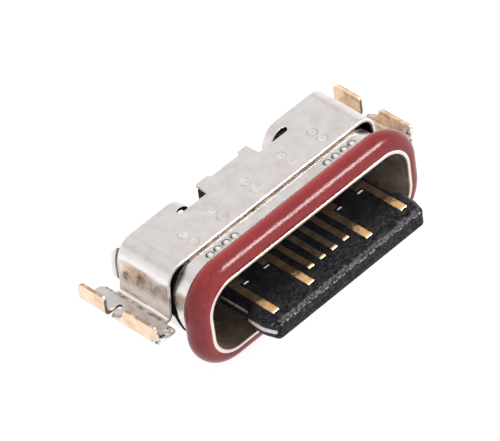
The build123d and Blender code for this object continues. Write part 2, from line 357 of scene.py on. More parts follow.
def polar_points(cx, cy, radii, k0=10):
    out = [(cx, cy)]
    for q, r in enumerate(radii):
        k = max(8, int(round(2 * math.pi * r / 0.022)))
        ph = q * 0.37
        for j in range(k):
            a = ph + 2 * math.pi * j / k
            out.append((cx + r * math.cos(a), cy + r * math.sin(a)))
    return out


# ------------------------------------------------------------------ materials
def new_mat(name):
    m = bpy.data.materials.new(name)
    m.use_nodes = True
    nt = m.node_tree
    nt.nodes.clear()
    out = nt.nodes.new("ShaderNodeOutputMaterial")
    bsdf = nt.nodes.new("ShaderNodeBsdfPrincipled")
    nt.links.new(bsdf.outputs[0], out.inputs[0])
    return m, nt, bsdf


class Nodes:
    """Short forms for building node trees."""

    def __init__(self, nt):
        self.nt = nt
        self.coord = nt.nodes.new("ShaderNodeTexCoord").outputs["Object"]

    def link(self, a, b):
        self.nt.links.new(a, b)

    def put(self, socket, value):
        if isinstance(value, (int, float)):
            socket.default_value = value
        elif isinstance(value, (tuple, list)):
            socket.default_value = value
        else:
            self.link(value, socket)

    def noise(self, scale, detail=3.0, rough=0.55, vec=None, dist=0.0):
        n = self.nt.nodes.new("ShaderNodeTexNoise")
        n.inputs["Scale"].default_value = scale
        n.inputs["Detail"].default_value = detail
        n.inputs["Roughness"].default_value = rough
        n.inputs["Distortion"].default_value = dist
        self.link(vec or self.coord, n.inputs["Vector"])
        return n.outputs["Fac"]

    def voronoi(self, scale, feature="F1", out="Distance", vec=None, randomness=1.0):
        n = self.nt.nodes.new("ShaderNodeTexVoronoi")
        n.feature = feature
        n.inputs["Scale"].default_value = scale
        n.inputs["Randomness"].default_value = randomness
        self.link(vec or self.coord, n.inputs["Vector"])
        return n.outputs[out]

    def mapping(self, scale=(1, 1, 1), rot=(0, 0, 0), loc=(0, 0, 0), vec=None):
        n = self.nt.nodes.new("ShaderNodeMapping")
        n.inputs["Scale"].default_value = scale
        n.inputs["Rotation"].default_value = rot
        n.inputs["Location"].default_value = loc
        self.link(vec or self.coord, n.inputs["Vector"])
        return n.outputs[0]

    def ramp(self, fac, stops, interp="LINEAR"):
        n = self.nt.nodes.new("ShaderNodeValToRGB")
        n.color_ramp.interpolation = interp
        el = n.color_ramp.elements
        while len(el) < len(stops):
            el.new(0.5)
        for e, (pos, col) in zip(el, stops):
            e.position = pos
            c = col if isinstance(col, (tuple, list)) else (col, col, col)
            e.color = (c[0], c[1], c[2], 1)
        self.link(fac, n.inputs[0])
        return n.outputs[0]

    def math(self, op, a, b=0.0, c=0.0, clamp=False):
        n = self.nt.nodes.new("ShaderNodeMath")
        n.operation = op
        n.use_clamp = clamp
        self.put(n.inputs[0], a)
        self.put(n.inputs[1], b)
        self.put(n.inputs[2], c)
        return n.outputs[0]

    def maprange(self, v, a, b, c=0.0, d=1.0, smooth=True):
        n = self.nt.nodes.new("ShaderNodeMapRange")
        n.interpolation_type = "SMOOTHSTEP" if smooth else "LINEAR"
        self.put(n.inputs["Value"], v)
        n.inputs["From Min"].default_value = a
        n.inputs["From Max"].default_value = b
        n.inputs["To Min"].default_value = c
        n.inputs["To Max"].default_value = d
        return n.outputs[0]

    def mix(self, fac, a, b):
        n = self.nt.nodes.new("ShaderNodeMix")
        n.data_type = "RGBA"
        self.put(n.inputs[0], fac)
        for s, v in ((n.inputs[6], a), (n.inputs[7], b)):
            if isinstance(v, (tuple, list)):
                s.default_value = (v[0], v[1], v[2], 1)
            else:
                self.link(v, s)
        return n.outputs[2]

    def sep(self, vec=None):
        n = self.nt.nodes.new("ShaderNodeSeparateXYZ")
        self.link(vec or self.coord, n.inputs[0])
        return n.outputs[0], n.outputs[1], n.outputs[2]

    def attr(self, name):
        n = self.nt.nodes.new("ShaderNodeAttribute")
        n.attribute_name = name
        return n.outputs["Fac"]

    def bump(self, height, strength, distance, normal=None):
        n = self.nt.nodes.new("ShaderNodeBump")
        n.inputs["Strength"].default_value = strength
        n.inputs["Distance"].default_value = distance
        self.link(height, n.inputs["Height"])
        if normal is not None:
            self.link(normal, n.inputs["Normal"])
        return n.outputs[0]

    def add(self, *vals):
        r = vals[0]
        for v in vals[1:]:
            r = self.math("ADD", r, v)
        return r


def col_in(n, bsdf, v):
    s = bsdf.inputs["Base Color"]
    if isinstance(v, (tuple, list)):
        s.default_value = (v[0], v[1], v[2], 1)
    else:
        n.link(v, s)


# nickel plated sheet, with gold plated leg faces
def mat_nickel():
    m, nt, b = new_mat("nickel_sheet")
    n = Nodes(nt)
    b.inputs["Metallic"].default_value = 1.0
    big = n.noise(2300, 4, 0.6)
    fine = n.noise(9000, 4, 0.6)
    mid = n.noise(3400, 4, 0.62)
    grain = n.noise(1.0, 3, 0.6, vec=n.mapping(scale=(2500, 14000, 14000)))
    tone = n.ramp(big, [(0.34, (0.70, 0.655, 0.65)), (0.50, (0.75, 0.715, 0.70)), (0.66, (0.77, 0.75, 0.735))])
    speck = n.maprange(n.noise(5200, 3, 0.6), 0.64, 0.76)
    tone = n.mix(n.math("MULTIPLY", speck, 0.25), tone, (0.62, 0.57, 0.53))
    # welded spots, and a painted shade line in the crease at the wall's foot
    tone = n.mix(n.math("MULTIPLY", n.attr("weld_and_crease_shade"), 0.8), tone, (0.40, 0.33, 0.285))
    tone = n.mix(n.math("MULTIPLY", n.attr("glow"), 0.8), tone, (0.95, 0.92, 0.89))
    # painted shade and darker reflection on the side walls, and a painted shade line at the flanges' foot, mottled
    blot = n.maprange(n.noise(1.0, 4, 0.65, vec=n.mapping(scale=(3200, 4200, 1900))), 0.36, 0.62)
    tone = n.mix(n.attr("shade"), tone, n.mix(blot, (0.13, 0.10, 0.075), (0.84, 0.77, 0.71)))
    # paler and less metallic: painted light on the lower walls and on the right legs' inner faces, and the paler torn
    # ends
    pale_and_lit = n.attr("pale_and_lit")
    tone = n.mix(n.math("MULTIPLY", pale_and_lit, 0.70), tone, (1.0, 0.93, 0.87))
    gold = n.attr("gold")
    edge_tone = n.ramp(mid, [(0.30, (0.13, 0.095, 0.07)), (0.46, (0.36, 0.28, 0.22)), (0.70, (0.55, 0.46, 0.39))])
    scab = n.ramp(n.noise(7000, 3, 0.65), [(0.37, (0.02, 0.017, 0.015)), (0.44, (0.42, 0.38, 0.35)), (0.55, (0.97, 0.95, 0.93))])
    tone = n.mix(n.attr("torn"), tone, scab)
    tone = n.mix(n.math("MULTIPLY", n.attr("edge"), 0.85), tone, edge_tone)
    # painted highlights on the front edge and along the bends
    tone = n.mix(n.attr("rim_highlight"), tone, (1.0, 0.985, 0.96))
    gold_tone = n.ramp(n.noise(2600, 3, 0.6), [(0.30, (0.72, 0.51, 0.35)), (0.50, (0.90, 0.69, 0.51)), (0.75, (0.95, 0.80, 0.66))])
    # painted light: lighter gold on the right legs' inner faces
    gold_tone = n.mix(n.math("MULTIPLY", n.attr("leg_lit_gold"), 0.6), gold_tone, n.ramp(n.noise(1700, 3, 0.6), [(0.35, (0.80, 0.50, 0.26)), (0.60, (1.0, 0.76, 0.47))]))
    # painted shade: a browner gold along the legs' tops
    gold_tone = n.mix(n.math("MULTIPLY", n.attr("leg_top_shade"), n.maprange(mid, 0.40, 0.60, 0.9, 0.25)), gold_tone, (0.50, 0.31, 0.19))
    tone = n.mix(gold, tone, gold_tone)
    # painted shade: the bracket's undersides and inner faces, the notches, the slot and the front edge's lower half
    # nearly black
    under_shade = n.attr("under_shade")
    tone = n.mix(under_shade, tone, (0.010, 0.009, 0.008))
    col_in(n, b, tone)
    shown = n.math("SUBTRACT", 1.0, under_shade)
    n.link(n.math("MULTIPLY", shown, n.math("SUBTRACT", 1.0, n.math("MULTIPLY", pale_and_lit, 0.80))), b.inputs["Metallic"])
    n.link(n.math("MULTIPLY", shown, 0.5), b.inputs["Specular IOR Level"])
    rough = n.maprange(n.noise(2600, 4, 0.6), 0.3, 0.7, 0.20, 0.33)
    rough = n.math("ADD", rough, n.math("MULTIPLY", n.attr("satin"), 0.14))
    n.link(rough, b.inputs["Roughness"])
    h = n.add(n.math("MULTIPLY", big, 0.55), n.math("MULTIPLY", fine, 0.10), n.math("MULTIPLY", grain, 0.06),
              n.math("MULTIPLY", n.attr("torn"), n.math("MULTIPLY", n.noise(6000, 3, 0.65), 3.0)))
    n.link(n.bump(h, 0.35, 0.00002), b.inputs["Normal"])
    return m


def mat_tube():
    m, nt, b = new_mat("steel_tube")
    n = Nodes(nt)
    b.inputs["Metallic"].default_value = 1.0
    inner = n.attr("inner")
    lip = n.attr("lip")
    big = n.noise(1300, 3, 0.6)
    fine = n.noise(9000, 4, 0.6)
    tone = n.ramp(big, [(0.3, (0.75, 0.715, 0.69)), (0.7, (0.85, 0.825, 0.81))])
    px, py, pz = n.sep()
    # painted shade inside the tube: brownish, lighter on the left inner wall as painted light, darker towards the
    # bottom
    inside_shade = n.ramp(n.noise(1800, 4, 0.65), [(0.35, (0.27, 0.21, 0.175)), (0.65, (0.56, 0.46, 0.40))])
    inside_shade = n.mix(n.maprange(px, -0.0042, -0.0030, 1.0, 0.0), inside_shade, n.ramp(n.noise(1500, 4, 0.65), [(0.35, (0.55, 0.41, 0.32)), (0.62, (1.0, 0.82, 0.68))]))
    inside_shade = n.mix(n.maprange(pz, -0.00126, -0.00105, 0.40, 0.0), inside_shade, (0.14, 0.105, 0.09))
    tone = n.mix(inner, tone, inside_shade)
    # painted highlights: broken cream dashes on the strip in front of the plate's edge
    tone = n.mix(n.math("MULTIPLY", n.attr("cream_highlights"), n.maprange(n.noise(5600, 3, 0.6), 0.52, 0.60)), tone, (1.0, 0.95, 0.88))
    # painted shade ring round each welded dot, strongest on its rear side, with a painted white highlight in the middle
    tone = n.mix(n.attr("ring"), tone, (0.055, 0.038, 0.032))
    tone = n.mix(n.attr("dotlight"), tone, (1.0, 1.0, 1.0))
    tone = n.mix(lip, tone, (0.84, 0.76, 0.70))
    # painted shade: the outer surface in the gap behind the bracket's front edge is near-black, mottled brown under the
    # top plate
    gap = n.ramp(n.noise(3800, 3, 0.6), [(0.34, (0.10, 0.07, 0.052)), (0.46, (0.30, 0.225, 0.17)), (0.65, (0.42, 0.33, 0.26))])
    tone = n.mix(n.attr("behind"), tone, n.mix(n.attr("warm"), (0.012, 0.010, 0.009), gap))
    # painted shade: a line on the sides near the wings' rear
    tone = n.mix(n.attr("wing_shade_line"), tone, (0.045, 0.025, 0.022))
    col_in(n, b, tone)
    shown = n.math("SUBTRACT", 1.0, n.attr("behind"))
    n.link(n.math("MULTIPLY", shown, n.math("SUBTRACT", 1.0, n.math("MULTIPLY", inner, 0.45))), b.inputs["Metallic"])
    n.link(n.math("MULTIPLY", shown, 0.5), b.inputs["Specular IOR Level"])
    rough = n.maprange(n.noise(2600, 4, 0.6), 0.3, 0.7, 0.20, 0.34)
    rough = n.add(rough, n.math("MULTIPLY", lip, 0.22))
    n.link(rough, b.inputs["Roughness"])
    h = n.add(n.math("MULTIPLY", big, 0.7), n.math("MULTIPLY", fine, 0.12))
    n.link(n.bump(h, 0.4, 0.00002), b.inputs["Normal"])
    return m


def mat_steel():
    m, nt, b = new_mat("plain_steel")
    n = Nodes(nt)
    b.inputs["Metallic"].default_value = 1.0
    tone = n.ramp(n.noise(3000, 3, 0.6), [(0.3, (0.50, 0.45, 0.465)), (0.7, (0.72, 0.665, 0.68))])
    col_in(n, b, tone)
    n.link(n.maprange(n.noise(6000, 3, 0.6), 0.3, 0.7, 0.22, 0.36), b.inputs["Roughness"])
    n.link(n.bump(n.noise(5000, 4, 0.6), 0.3, 0.00001), b.inputs["Normal"])
    return m


def mat_seal():
    m, nt, b = new_mat("red_silicone")
    n = Nodes(nt)
    big = n.noise(700, 3, 0.55)
    fine = n.noise(12000, 4, 0.65)
    tone = n.ramp(big, [(0.30, (0.165, 0.016, 0.018)), (0.55, (0.192, 0.020, 0.022)), (0.75, (0.225, 0.026, 0.027))])
    grain_ = n.noise(9000, 3, 0.7)
    tone = n.mix(n.maprange(grain_, 0.30, 0.52, 0.45, 0.0), tone, (0.135, 0.011, 0.012))
    tone = n.mix(n.maprange(grain_, 0.55, 0.75, 0.0, 0.40), tone, (0.40, 0.055, 0.060))
    sx, sy, sz = n.sep()
    # painted light: brighter red on the ring's upper rear
    upper = n.math("MULTIPLY", n.maprange(sy, 0.00030, 0.00055, 0.0, 1.0), n.maprange(sz, 0.0012, 0.0017, 0.0, 1.0))
    tone = n.mix(n.math("MULTIPLY", upper, 0.55), tone, (0.37, 0.030, 0.028))
    # painted shade: darker towards the right end
    tone = n.mix(n.maprange(sx, 0.0024, 0.0044, 0.0, 0.62), tone, (0.13, 0.012, 0.013))
    col_in(n, b, tone)
    n.link(n.maprange(sy, 0.00062, 0.00084, 0.5, 0.08), b.inputs["Specular IOR Level"])
    n.link(n.maprange(n.noise(2400, 4, 0.6), 0.3, 0.7, 0.14, 0.25), b.inputs["Roughness"])
    b.inputs["IOR"].default_value = 1.37
    b.inputs["Subsurface Weight"].default_value = 0.0
    h = n.add(n.math("MULTIPLY", n.noise(2600, 4, 0.6), 0.8), n.math("MULTIPLY", fine, 0.35))
    n.link(n.bump(h, 0.45, 0.00003), b.inputs["Normal"])
    return m


def mat_black():
    m, nt, b = new_mat("black_moulding")
    n = Nodes(nt)
    wear_and_sheen = n.attr("wear_and_sheen")
    fibre = n.noise(1.0, 4, 0.65, vec=n.mapping(scale=(9000, 12000, 16000)))
    tx, ty, tz = n.sep()
    base = n.ramp(n.noise(1500, 3, 0.6), [(0.35, (0.0035, 0.0035, 0.0045)), (0.65, (0.008, 0.008, 0.010))])
    # light strokes along the front edge: rubbed plastic and painted sheen
    worn_and_sheen_tone = n.ramp(fibre, [(0.38, (0.04, 0.034, 0.036)), (0.54, (0.27, 0.22, 0.23)), (0.66, (0.85, 0.74, 0.76))])
    # lighter grey scuffs, strongest at the front, partly painted light on the lit front
    scuff_and_front_light = n.math("MULTIPLY", n.maprange(n.noise(1.0, 4, 0.7, vec=n.mapping(scale=(6500, 9500, 6500))), 0.50, 0.66), n.maprange(ty, -0.0012, -0.0006, 0.55, 0.08))
    base = n.mix(scuff_and_front_light, base, (0.062, 0.061, 0.070))
    tone = n.mix(n.math("MULTIPLY", wear_and_sheen, n.maprange(fibre, 0.44, 0.58)), base, worn_and_sheen_tone)
    tone = n.mix(n.attr("glint"), tone, (0.92, 0.88, 0.97))
    col_in(n, b, tone)
    b.inputs["IOR"].default_value = 1.36
    n.link(n.math("MULTIPLY", n.maprange(fibre, 0.42, 0.60, 0.10, 0.62), n.math("MULTIPLY", n.maprange(ty, -0.0010, -0.0002, 1.0, 0.35), n.maprange(ty, -0.00161, -0.00152, 0.55, 1.0))), b.inputs["Specular IOR Level"])
    n.link(n.maprange(fibre, 0.35, 0.7, 0.34, 0.52), b.inputs["Roughness"])
    h = n.add(n.math("MULTIPLY", fibre, 0.7), n.math("MULTIPLY", n.noise(3000, 3, 0.6), 0.55))
    n.link(n.bump(h, 0.42, 0.00003), b.inputs["Normal"])
    return m


def mat_resin():
    m, nt, b = new_mat("dark_resin")
    n = Nodes(nt)
    tone = n.ramp(n.noise(1400, 3, 0.6), [(0.35, (0.018, 0.016, 0.014)), (0.65, (0.035, 0.031, 0.027))])
    col_in(n, b, tone)
    n.link(n.maprange(n.noise(3200, 3, 0.6), 0.3, 0.7, 0.14, 0.28), b.inputs["Roughness"])
    n.link(n.bump(n.noise(1100, 3, 0.5), 0.4, 0.00004), b.inputs["Normal"])
    return m


def mat_shaded(name, a, b_, metallic):
    m, nt, b = new_mat(name)
    n = Nodes(nt)
    b.inputs["Metallic"].default_value = metallic
    b.inputs["Specular IOR Level"].default_value = 0.15
    col_in(n, b, n.ramp(n.noise(2400, 3, 0.6), [(0.35, a), (0.65, b_)]))
    n.link(n.maprange(n.noise(4200, 3, 0.6), 0.3, 0.7, 0.55, 0.75), b.inputs["Roughness"])
    n.link(n.bump(n.noise(5000, 3, 0.6), 0.3, 0.00001), b.inputs["Normal"])
    return m


def mat_gold():
    m, nt, b = new_mat("gold_contact")
    n = Nodes(nt)
    b.inputs["Metallic"].default_value = 1.0
    tone = n.ramp(n.noise(3600, 3, 0.6), [(0.30, (0.80, 0.46, 0.19)), (0.60, (0.95, 0.62, 0.29)), (0.80, (1.0, 0.76, 0.45))])
    # painted shade: the contacts turn brown and less metallic towards the rear, inside the mouth
    deep_shade = n.ramp(n.noise(3000, 3, 0.6), [(0.35, (0.036, 0.023, 0.0135)), (0.65, (0.073, 0.049, 0.030))])
    rear_shade_mix = n.maprange(n.add(n.attr("deep_shade"), n.math("MULTIPLY", n.noise(6500, 3, 0.7), 0.9)), 0.66, 1.20)
    rear_shade_mix = n.math("SUBTRACT", 1.0, n.math("POWER", n.math("SUBTRACT", 1.0, rear_shade_mix), 2.0))
    tone = n.mix(rear_shade_mix, tone, deep_shade)
    # painted highlight on the contacts' tips
    tone = n.mix(n.attr("tip"), tone, (1.0, 0.89, 0.62))
    col_in(n, b, tone)
    n.link(n.math("SUBTRACT", 1.0, n.math("MULTIPLY", rear_shade_mix, 0.75)), b.inputs["Metallic"])
    n.link(n.math("SUBTRACT", 0.5, n.math("MULTIPLY", rear_shade_mix, 0.4)), b.inputs["Specular IOR Level"])
    n.link(n.maprange(n.noise(7000, 3, 0.6), 0.3, 0.7, 0.34, 0.50), b.inputs["Roughness"])
    n.link(n.bump(n.add(n.noise(6000, 4, 0.6), n.noise(1.0, 3, 0.5, vec=n.mapping(scale=(16000, 2500, 16000)))), 0.22, 0.00001), b.inputs["Normal"])
    return m


M_nickel, M_tube, M_steel, M_seal = mat_nickel(), mat_tube(), mat_steel(), mat_seal()
M_black, M_resin, M_gold = mat_black(), mat_resin(), mat_gold()
M_root = mat_shaded("root_moulding", (0.008, 0.006, 0.005), (0.018, 0.013, 0.010), 0.0)
# painted shade: the grounding plates inside the mouth get a darker brown tone
M_ground = mat_shaded("ground_plate", (0.10, 0.085, 0.07), (0.20, 0.17, 0.145), 0.6)

# ------------------------------------------------------------------ sizes, as in the part (mm)
mouth_w, mouth_h, mouth_r, shell_t = 8.34, 2.56, 0.90, 0.12
sheet_t = 0.12

# ------------------------------------------------------------------ sealing ring
pts, nrm = rrect_path(mouth_w, mouth_h, mouth_r, 0.05, 36)
seal_y0, seal_y1, seal_off, seal_r = 0.02, 0.87, 0.475, 0.41
sec = []
d0, d1 = shell_t - 0.01, shell_t + seal_off
for k in range(5):
    sec.append((seal_y0, d0 + (d1 - seal_r - d0) * k / 5))
for k in range(15):
    a = math.pi / 2 * k / 14
    sec.append((seal_y0 + seal_r - seal_r * math.cos(a), d1 - seal_r + seal_r * math.sin(a)))
for k in range(1, 15):
    a = math.pi / 2 * k / 14
    sec.append((seal_y1 - seal_r + seal_r * math.sin(a), d1 - seal_r + seal_r * math.cos(a)))
for k in range(1, 5):
    sec.append((seal_y1, d1 - seal_r - (d1 - seal_r - d0) * k / 4))
for k in range(1, 6):
    sec.append((seal_y1 - (seal_y1 - seal_y0) * k / 6, d0))
sec = np.array(sec)
N, Mx = len(pts), len(sec)
V = np.zeros((N, Mx, 3))
V[:, :, 0] = pts[:, 0:1] + nrm[:, 0:1] * sec[:, 1]
V[:, :, 1] = sec[:, 0]
V[:, :, 2] = pts[:, 1:2] + nrm[:, 1:2] * sec[:, 1]
V = V.reshape(-1, 3)
make_piece("sealing_ring", V, ring_quads(N, Mx), [], [M_seal], "seal_ring", 60)

# ------------------------------------------------------------------ inner shell (drawn tube)
dots = [-2.95, -2.62, -2.28, -1.93, 2.05, 2.41, 2.78, 3.11]
DOT_Y = 1.17
fine_x = np.concatenate([np.arange(-3.12, -1.66, 0.02), np.arange(1.90, 3.38, 0.02), [-3.43, -3.40, -3.37, 3.37, 3.40, 3.43]])
pts, nrm = rrect_path(mouth_w, mouth_h, mouth_r, 0.05, 40, extra_x=fine_x)
# two more points where the wings' lower edges step back
for k in range(len(pts) - 1, 0, -1):
    za, zb = pts[k - 1][1], pts[k][1]
    if abs(nrm[k][0]) > 0.999 and abs(nrm[k - 1][0]) > 0.999 and min(za, zb) < -0.15 <= max(za, zb):
        lo_hi = sorted([-0.156, -0.144], reverse=bool(za > zb))
        pts = np.insert(pts, k, [[pts[k][0], lo_hi[0]], [pts[k][0], lo_hi[1]]], axis=0)
        nrm = np.insert(nrm, k, [nrm[k], nrm[k]], axis=0)
y_cut = 4.14
outer_z = pts[:, 1] + nrm[:, 1] * shell_t
outer_x = pts[:, 0] + nrm[:, 0] * shell_t
y_end = np.full(len(pts), y_cut)
for i in range(len(pts)):
    x, z = outer_x[i], outer_z[i]
    if z > 1.10:
        y_end[i] = 3.05 if abs(x) < 3.4 else 3.30
    elif z > 0.30:
        # sloping top edge, then a round corner of 0.32
        top = 4.135
        if z > 0.985:
            t = (1.10 - z) / (1.10 - 0.985)
            y_end[i] = 3.30 + t * 0.51
        elif z > 0.665:
            y_end[i] = 3.815 + math.sqrt(max(0.0, 0.32 ** 2 - (z - 0.665) ** 2))
        else:
            y_end[i] = top
    elif z < -0.15:
        y_end[i] = 3.62
prof = []          # (y, d, moving) from the inside rear, round the lip, to the outside rear
e = 0.025
inner_nom = np.r_[np.linspace(4.05 - e, 1.2, 20), np.linspace(1.1, 0.12, 14), [0.07, 0.04]]
for y in inner_nom:
    prof.append((y, 0.0, y > 1.2))
for k in range(9):          # lip: a small round bead
    a = math.pi * k / 8
    prof.append((0.030 - 0.030 * math.sin(a), 0.064 - 0.064 * math.cos(a), False))
prof += [(0.040, 0.124, False), (0.060, shell_t, False)]
for y in np.linspace(0.12, 0.84, 6):
    prof.append((y, shell_t, False))
# low bead behind the sealing ring
prof += [(0.868, shell_t, False), (0.872, 0.13, False), (0.872, 0.215, False), (0.880, 0.232, False), (0.895, 0.238, False), (0.925, 0.238, False),
         (0.940, 0.232, False), (0.948, 0.215, False), (0.950, 0.14, False), (0.958, shell_t + 0.006, False), (0.98, shell_t, False)]
for y in np.arange(1.00, 1.53, 0.02):
    prof.append((y, shell_t, y > 1.2))
for y in np.r_[1.55, 1.57, 1.59, 1.61, np.linspace(1.66, 3.55, 13), np.arange(3.60, 4.01, 0.03)]:
    prof.append((y, shell_t, True))
prof += [(4.05 - 0.3 * e, shell_t - 0.3 * e, True), (4.05, shell_t - e, True), (4.05, e, True), (4.05 - 0.3 * e, 0.3 * e, True)]
prof = np.array([(a, b, 1.0 if c else 0.0) for a, b, c in prof])
N, Mx = len(pts), len(prof)
Y = np.tile(prof[:, 0], (N, 1))
mv = np.tile(prof[:, 2], (N, 1)) > 0.5
scale = ((y_end - 1.2) / (4.05 - 1.2))[:, None]
Ymv = np.where(Y > 4.05 - 0.03, y_end[:, None] - (4.05 - Y), 1.2 + (Y - 1.2) * scale)
Y = np.where(mv, Ymv, Y)
D = np.tile(prof[:, 1], (N, 1))
X0 = np.tile(pts[:, 0:1], (1, Mx))
Z0 = np.tile(pts[:, 1:2], (1, Mx))
top_out = (np.tile(nrm[:, 1:2], (1, Mx)) > 0.99) & (D > shell_t - 0.001) & (Y > 1.02) & (Y < 1.56)
lift = np.zeros_like(Y)
for xd in dots:
    rr = np.hypot(X0 - xd, Y - DOT_Y)
    lift += np.where(rr < 0.20, 0.022 * np.clip(1 - (rr / 0.120) ** 2, 0, 1) - 0.012 * np.exp(-((rr - 0.145) / 0.02) ** 2), 0)
D = D + np.where(top_out, lift, 0)
V = np.zeros((N, Mx, 3))
V[:, :, 0] = X0 + nrm[:, 0:1] * D
V[:, :, 1] = Y
V[:, :, 2] = Z0 + nrm[:, 1:2] * D
V = V.reshape(-1, 3)
lip_mask = (Y.reshape(-1) < 0.045) * np.clip((D.reshape(-1) - 0.020) / 0.022, 0, 1)
# inside surface, which takes the painted shade tone
inner_mask = ((D < 0.06).astype(float)).reshape(-1) * (1 - lip_mask)
Zg, Xg = V[:, 2].reshape(N, Mx), V[:, 0].reshape(N, Mx)
# painted shade on the outer surface in the gap under and behind the bracket, browner at the top
start = 1.432 + 0.060 * np.clip((1.37 - Zg) / 0.06, 0, 1) - 0.075 * np.clip((0.4 - Zg) / 0.5, 0, 1) - 0.20 * np.clip((-0.25 - Zg) / 0.4, 0, 1)
behind = (np.clip((Y - start) / 0.02, 0, 1) * np.clip((Zg + 1.38) / 0.1, 0, 1) * np.clip((3.82 - Y) / 0.08, 0, 1) * (D > 0.06)
          * (1 - np.clip((Y - start - 0.19) / 0.05, 0, 1) * np.clip((-0.30 - Zg) / 0.05, 0, 1))).reshape(-1)
warm = (np.clip((Zg - 1.30) / 0.06, 0, 1)).reshape(-1)
# painted shade: a line on the sides near the wings' rear
wing_shade_line = (np.exp(-((Y - 3.905) / 0.050) ** 2) * (D > 0.06) * (np.abs(Zg - 0.30) < 0.9)).reshape(-1)
# painted shade ring round each welded dot, strongest on its rear side, and a painted white highlight in the middle
ring = np.zeros_like(Y)
dotlight = np.zeros_like(Y)
for xd in dots:
    rr = np.hypot(X0 - xd, Y - DOT_Y)
    ring = np.maximum(ring, np.exp(-((rr - 0.120) / 0.038) ** 2) * np.clip(0.90 + 0.9 * (Y - DOT_Y) / 0.125, 0.30, 1))
    dotlight = np.maximum(dotlight, np.clip(1.3 - rr / 0.06, 0, 1))
ring = (ring * top_out).reshape(-1)
dotlight = (dotlight * top_out).reshape(-1)
# painted highlights: broken cream dashes on the strip in front of the plate's edge
cream_highlights = (((Y > 1.405) & (Y < 1.425) & top_out) * 1.0).reshape(-1)
make_piece("drawn_tube", V, ring_quads(N, Mx), [], [M_tube], "inner_shell", 40,
           attrs={"inner": inner_mask, "lip": lip_mask, "behind": behind, "ring": ring, "dotlight": dotlight, "cream_highlights": cream_highlights, "warm": warm, "wing_shade_line": wing_shade_line})

# ------------------------------------------------------------------ folded bracket
def path_fold(pts, radii):
    """Fold function of arc length for a polyline with rounded corners; returns f(s) -> point and left normal, the total length and the segments."""
    pts = [np.array(p, float) for p in pts]
    segs = []
    pos = pts[0]
    for i in range(1, len(pts) - 1):
        p, a, b = pts[i], pts[i - 1], pts[i + 1]
        r = radii[i - 1]
        u = (p - a) / np.linalg.norm(p - a)
        v = (b - p) / np.linalg.norm(b - p)
        turn = math.atan2(u[0] * v[1] - u[1] * v[0], u @ v)
        t = r * math.tan(abs(turn) / 2)
        e0 = p - u * t
        segs.append(("line", pos, u, float(np.linalg.norm(e0 - pos))))
        segs.append(("arc", e0, u, r * abs(turn), r, turn))
        pos = p + v * t
    u = (pts[-1] - pos) / np.linalg.norm(pts[-1] - pos)
    segs.append(("line", pos, u, float(np.linalg.norm(pts[-1] - pos))))
    total = sum(s[3] for s in segs)

    def f(s):
        for q, sg in enumerate(segs):
            if s <= sg[3] or q == len(segs) - 1:
                if sg[0] == "line":
                    p = sg[1] + sg[2] * s
                    return p[0], p[1], -sg[2][1], sg[2][0]
                _, e0, u, ln, r, turn = sg
                sign = 1 if turn > 0 else -1
                nrm_ = np.array([-u[1], u[0]]) * sign
                c = e0 + nrm_ * r
                a = s / r * sign
                d = e0 - c
                ca, sa = math.cos(a), math.sin(a)
                p = c + np.array([d[0] * ca - d[1] * sa, d[0] * sa + d[1] * ca])
                uu = np.array([u[0] * ca - u[1] * sa, u[0] * sa + u[1] * ca])
                return p[0], p[1], -uu[1], uu[0]
            s -= sg[3]

    return f, total, segs


# x, z and outward normal at the distance u from the middle, right half
TOPZ = mouth_h / 2 + shell_t + sheet_t / 2
fold, U7, fold_segs = path_fold([(0, TOPZ), (4.34, TOPZ), (4.50, -0.26), (5.50, -0.26), (5.50, 0.42)], [0.55, 0.15, 0.14])
U1, U2, U3, U4, U5, U6 = [float(v) for v in np.cumsum([s[3] for s in fold_segs])[:6]]
X4, Z6 = fold(U4)[0], fold(U6)[1]

TAB_R, TAB_A, TAB_X = 0.42, 1.0926, 2.225


def fold_tab(u):
    d = TAB_X - u
    if d <= TAB_R * TAB_A:
        a = d / TAB_R
        return TAB_X - TAB_R * math.sin(a), TOPZ - TAB_R * (1 - math.cos(a)), -math.sin(a), math.cos(a)
    q = d - TAB_R * TAB_A
    x0, z0 = TAB_X - TAB_R * math.sin(TAB_A), TOPZ - TAB_R * (1 - math.cos(TAB_A))
    return x0 - math.cos(TAB_A) * q, z0 - math.sin(TAB_A) * q, -math.sin(TAB_A), math.cos(TAB_A)


u_fl = lambda x: U4 + (x - X4)
u_leg = lambda z: U6 + (z - Z6)
uF = u_fl(4.74)
uSc = u_fl(5.08)
half = [((0.0, 1.53), 0)]
half += [((uF, 1.53), 0.05), ((uF, 1.08), 0.05), ((U7, 1.08), 0.12), ((U7, 2.38), 0.10), ((u_leg(0.30), 2.38), 0.08), ((u_leg(0.08), 2.50), 0.10),
         ((U6, 2.93), 0.04), ((U5, 3.10), 0)]
for k in range(0, 15):
    a = -1.5 * math.pi * k / 15
    half.append(((uSc + 0.09 * math.cos(a) - 0.01 * (k == 0), 3.09 + 0.09 * math.sin(a) + 0.01 * (k == 0)), 0))
half += [((uSc, 3.18), 0), ((U7, 3.18), 0.16), ((U7, 4.30), 0.22), ((U5 + 0.03, 4.30), 0.04), ((U5 - 0.03, 4.20), 0.04), ((u_fl(4.70), 4.20), 0.26),
         ((u_fl(4.70), 3.60), 0.05), ((2.30, 3.60), 0), ((2.22, 3.58), 0), ((1.39, 3.58), 0.05), ((1.39, 3.22), 0.05), ((2.22, 3.22), 0), ((2.26, 3.19), 0),
         ((2.34, 3.19), 0.05), ((2.34, 3.02), 0.13), ((1.06, 3.02), 0.08), ((1.03, 3.55), 0.06), ((0.66, 3.55), 0.05), ((0.58, 3.43), 0.05), ((0.0, 3.43), 0)]
right = half
left = [((-p[0], p[1]), r) for (p, r) in reversed(half)]
